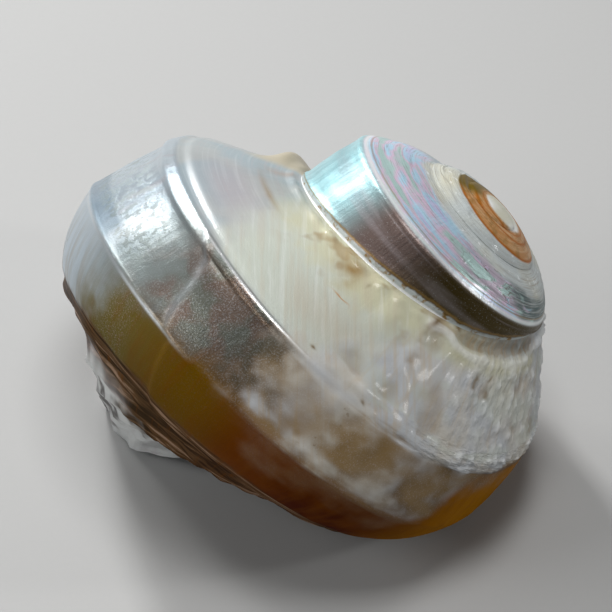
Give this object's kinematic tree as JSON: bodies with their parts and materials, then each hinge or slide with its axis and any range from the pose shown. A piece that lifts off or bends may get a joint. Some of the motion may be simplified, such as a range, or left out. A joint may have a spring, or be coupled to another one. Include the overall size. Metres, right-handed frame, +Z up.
{
  "type": "turban shell",
  "caption": "Low-spired turban sea shell with a keeled last whorl, part polished to mother of pearl, lying on the rim of its round opening, with a hollow room behind the lip.",
  "frame": {"origin": "middle of the shell's box, on the table", "axes": "+Z up from the table; the picture looks along +Y and down, so +X is to its right; the spire leans over to +X and up"},
  "size_m": [0.0868, 0.093, 0.0645],
  "materials": {
    "shell": "polished mother of pearl with worn chalky patches"
  },
  "bodies": {
    "root": {"shell": "shell"}
  },
  "joints": []
}
